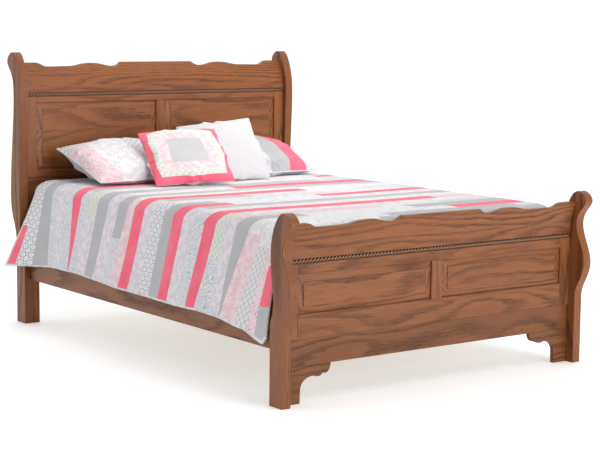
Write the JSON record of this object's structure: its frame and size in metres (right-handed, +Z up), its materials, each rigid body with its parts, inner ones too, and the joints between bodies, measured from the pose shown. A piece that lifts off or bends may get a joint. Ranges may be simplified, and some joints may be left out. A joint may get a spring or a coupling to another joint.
{
  "type": "sleigh bed",
  "caption": "Queen sleigh bed with scrolled posts, panelled head- and footboard, side rails, slats, mattress, patchwork quilt and pillows.",
  "frame": {"origin": "on the floor, at the centre of the overall length and width", "axes": "+Y from the foot towards the head, along the bed's length; +X to the right-hand side seen from the foot; +Z up"},
  "size_m": [1.724, 2.419, 1.3483],
  "materials": {
    "oak": "stained oak, satin",
    "pine": "raw pine",
    "steel": "zinc plated",
    "quilt_cotton": "printed quilted cotton",
    "sham_cotton": "printed quilted cotton",
    "throw_cotton": "printed cotton",
    "white_cotton": "plain white cotton",
    "mattress_ticking": "quilted ticking",
    "box_ticking": "woven ticking"
  },
  "bodies": {
    "frame": {"foot_bottom_rail": "oak", "foot_bracket_left": "oak", "foot_bracket_right": "oak", "foot_centre_stile": "oak", "foot_crest_rail": "oak", "foot_leg_block_left": "oak", "foot_leg_block_right": "oak", "foot_lower_board": "oak", "foot_panel_left": "oak", "foot_panel_right": "oak", "foot_post_left": "oak", "foot_post_right": "oak", "foot_rope_moulding": "oak", "foot_stile_left": "oak", "foot_stile_right": "oak", "foot_top_rail": "oak", "head_bottom_rail": "oak", "head_centre_stile": "oak", "head_crest_rail": "oak", "head_leg_block_left": "oak", "head_leg_block_right": "oak", "head_lower_board": "oak", "head_panel_left": "oak", "head_panel_right": "oak", "head_post_left": "oak", "head_post_right": "oak", "head_rope_moulding": "oak", "head_stile_left": "oak", "head_stile_right": "oak", "head_top_rail": "oak", "ledger_left": "pine", "ledger_right": "pine", "ledger_screws": "steel", "rail_bracket_bolts": "steel", "rail_bracket_foot_left": "steel", "rail_bracket_foot_right": "steel", "rail_bracket_head_left": "steel", "rail_bracket_head_right": "steel", "rail_bracket_screws": "steel", "side_rail_left": "oak", "side_rail_right": "oak", "slat_1": "pine", "slat_2": "pine", "slat_3": "pine", "slat_4": "pine", "slat_5": "pine", "slat_screws": "steel", "support_leg_1": "pine", "support_leg_2": "pine", "support_leg_3": "pine"},
    "box_spring": {"box_spring": "box_ticking"},
    "mattress": {"mattress": "mattress_ticking"},
    "quilt": {"quilt": "quilt_cotton"},
    "sham_left": {"sham_left": "sham_cotton"},
    "sham_right": {"sham_right": "sham_cotton"},
    "throw_pillow": {"throw_pillow": "throw_cotton"},
    "white_pillow": {"white_pillow": "white_cotton"}
  },
  "joints": [
    {"name": "box_spring_lift", "type": "slide", "parent": "frame", "child": "box_spring", "axis": [0, 0, 1], "range_m": [0, 0.5]},
    {"name": "mattress_lift", "type": "slide", "parent": "box_spring", "child": "mattress", "axis": [0, 0, 1], "range_m": [0, 0.35]},
    {"name": "quilt_lift", "type": "slide", "parent": "mattress", "child": "quilt", "axis": [0, 0, 1], "range_m": [0, 0.45]},
    {"name": "sham_left_slide", "type": "slide", "parent": "quilt", "child": "sham_left", "axis": [-1, 0, 0], "range_m": [0, 0.75]},
    {"name": "sham_right_slide", "type": "slide", "parent": "quilt", "child": "sham_right", "axis": [1, 0, 0], "range_m": [0, 0.75]},
    {"name": "white_pillow_lift", "type": "slide", "parent": "quilt", "child": "white_pillow", "axis": [0, 0, 1], "range_m": [0, 0.35]},
    {"name": "throw_pillow_lift", "type": "slide", "parent": "white_pillow", "child": "throw_pillow", "axis": [0, 0, 1], "range_m": [0, 0.35]}
  ]
}
